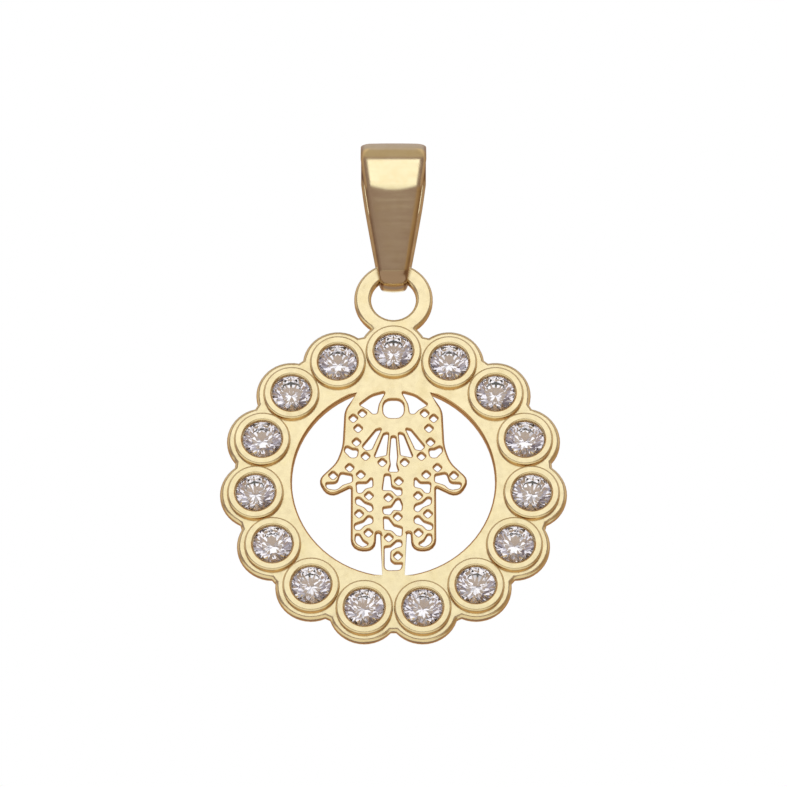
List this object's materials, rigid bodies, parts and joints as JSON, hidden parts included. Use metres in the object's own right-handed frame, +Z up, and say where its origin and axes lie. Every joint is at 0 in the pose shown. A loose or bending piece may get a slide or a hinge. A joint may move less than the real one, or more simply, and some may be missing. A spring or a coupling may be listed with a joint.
{
  "type": "hamsa pendant",
  "caption": "Pierced hand inside a scalloped ring of bezel-set clear stones, hanging by a flat eye from a tapered strip bail.",
  "frame": {"origin": "where a chain bears on the inside of the bail's top, in the middle of its width", "axes": "+Z up along the hanging pendant, +X to the right seen from the front, the front faces -Y"},
  "size_m": [0.0198, 0.004, 0.0311],
  "materials": {
    "gold": "polished, with fine brushing on the bail",
    "crystal": "clear, faceted and polished"
  },
  "bodies": {
    "bail": {"bail": "gold"},
    "medallion": {"medallion": "gold", "stone_01": "crystal", "stone_02": "crystal", "stone_03": "crystal", "stone_04": "crystal", "stone_05": "crystal", "stone_06": "crystal", "stone_07": "crystal", "stone_08": "crystal", "stone_09": "crystal", "stone_10": "crystal", "stone_11": "crystal", "stone_12": "crystal", "stone_13": "crystal", "stone_14": "crystal", "stone_15": "crystal"}
  },
  "joints": [
    {"name": "medallion_swing", "type": "hinge", "parent": "bail", "child": "medallion", "pos_m": [0, 0, -0.00779], "axis": [1, 0, 0], "range_deg": [-120, 120]}
  ]
}
